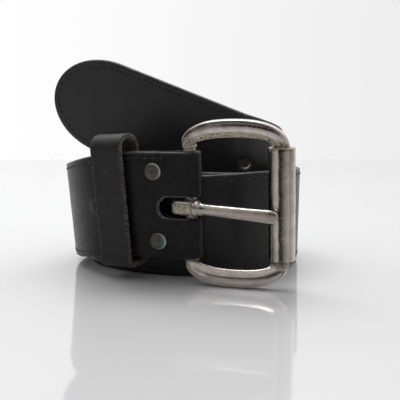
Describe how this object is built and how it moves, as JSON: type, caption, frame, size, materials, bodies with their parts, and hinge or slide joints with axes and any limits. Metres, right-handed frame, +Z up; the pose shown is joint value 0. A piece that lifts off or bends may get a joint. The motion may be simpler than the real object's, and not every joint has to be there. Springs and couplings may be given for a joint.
{
  "type": "leather belt",
  "caption": "Rolled black leather belt: stitched lined strap folded and riveted round a nickel roller buckle, with a sliding keeper loop and punched prong holes.",
  "frame": {"origin": "middle of the bounding box, on the surface that the rolled belt stands on", "axes": "+Z up, across the strap; -Y the way the buckle faces; +X from the keeper towards the roller"},
  "size_m": [0.1244, 0.137, 0.0995],
  "materials": {
    "black_leather": "smooth black grain leather, semi-matt, with dyed cut edges",
    "lining_leather": "fine black lining leather, matt",
    "keeper_leather": "black grain leather with raw brown cut edges",
    "thread": "waxed black thread",
    "nickel": "polished nickel plate, worn and pitted",
    "rivet_steel": "tarnished, smooth"
  },
  "bodies": {
    "strap": {"strap_face": "black_leather", "strap_lining": "lining_leather", "edge_thread": "thread", "rivet_upper_cap": "rivet_steel", "rivet_upper_post": "rivet_steel", "rivet_lower_cap": "rivet_steel", "rivet_lower_post": "rivet_steel", "rivet_rear_cap": "rivet_steel", "rivet_rear_post": "rivet_steel"},
    "keeper": {"keeper_loop": "keeper_leather"},
    "buckle": {"buckle_frame": "nickel"},
    "roller": {"buckle_roller": "nickel"},
    "prong": {"buckle_prong": "nickel"}
  },
  "joints": [
    {"name": "keeper_slide", "type": "slide", "parent": "strap", "child": "keeper", "axis": [-0.8515, 0.5146, -0.1006], "range_m": [-0.0025, 0.0025]},
    {"name": "buckle_swing", "type": "hinge", "parent": "strap", "child": "buckle", "pos_m": [0.00726, -0.04942, 0.03485], "axis": [0.0259, 0.0847, -0.9961], "range_deg": [-15, 55]},
    {"name": "prong_swing", "type": "hinge", "parent": "buckle", "child": "prong", "pos_m": [0.00726, -0.04942, 0.03485], "axis": [0.0259, 0.0847, -0.9961], "range_deg": [0, 70]},
    {"name": "roller_spin", "type": "hinge", "parent": "buckle", "child": "roller", "pos_m": [0.04379, -0.06059, 0.03485], "axis": [0.0259, 0.0847, -0.9961], "continuous": true}
  ]
}
